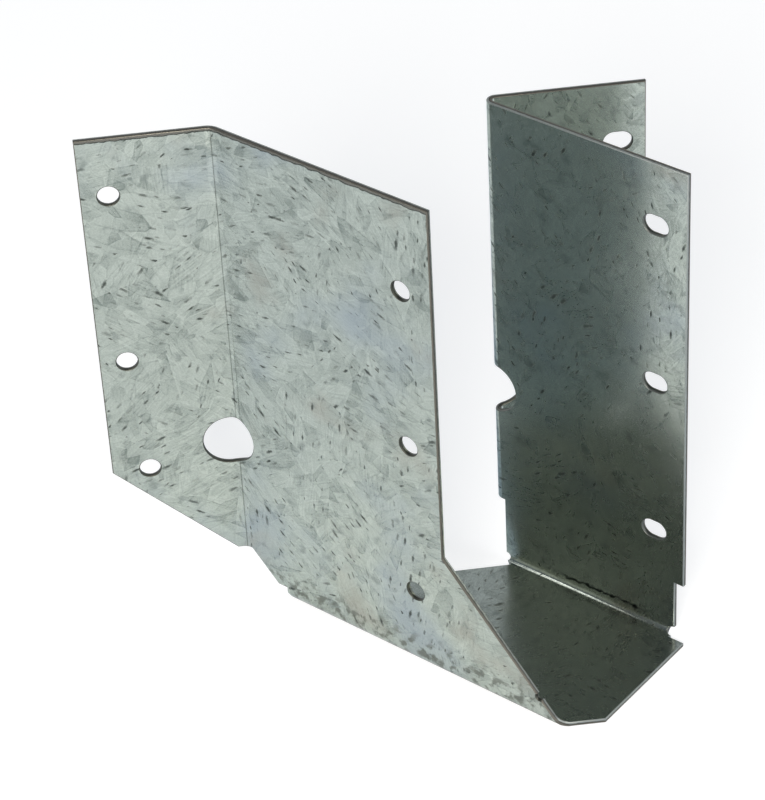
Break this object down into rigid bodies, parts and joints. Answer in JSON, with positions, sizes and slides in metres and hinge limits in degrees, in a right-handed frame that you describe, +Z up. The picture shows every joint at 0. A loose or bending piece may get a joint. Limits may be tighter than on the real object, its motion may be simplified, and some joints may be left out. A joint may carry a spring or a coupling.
{
  "type": "skewed joist hanger",
  "caption": "Folded sheet-steel joist hanger with a flat seat and two parallel walls set at 45 degrees to the rear nailing flanges, with nail holes and bend reliefs.",
  "frame": {"origin": "centre of the outline's bounding box in plan, at the level of the seat's underside", "axes": "+Z up the walls; +Y out of the header face of the flanges, into the header; the joist leaves towards +X and -Y at 45 degrees"},
  "size_m": [0.1262, 0.0636, 0.127],
  "materials": {
    "galvanised_steel": "hot-dip galvanised sheet with a fine angular spangle, matt, with grey handling marks"
  },
  "bodies": {
    "root": {"hanger": "galvanised_steel"}
  },
  "joints": []
}
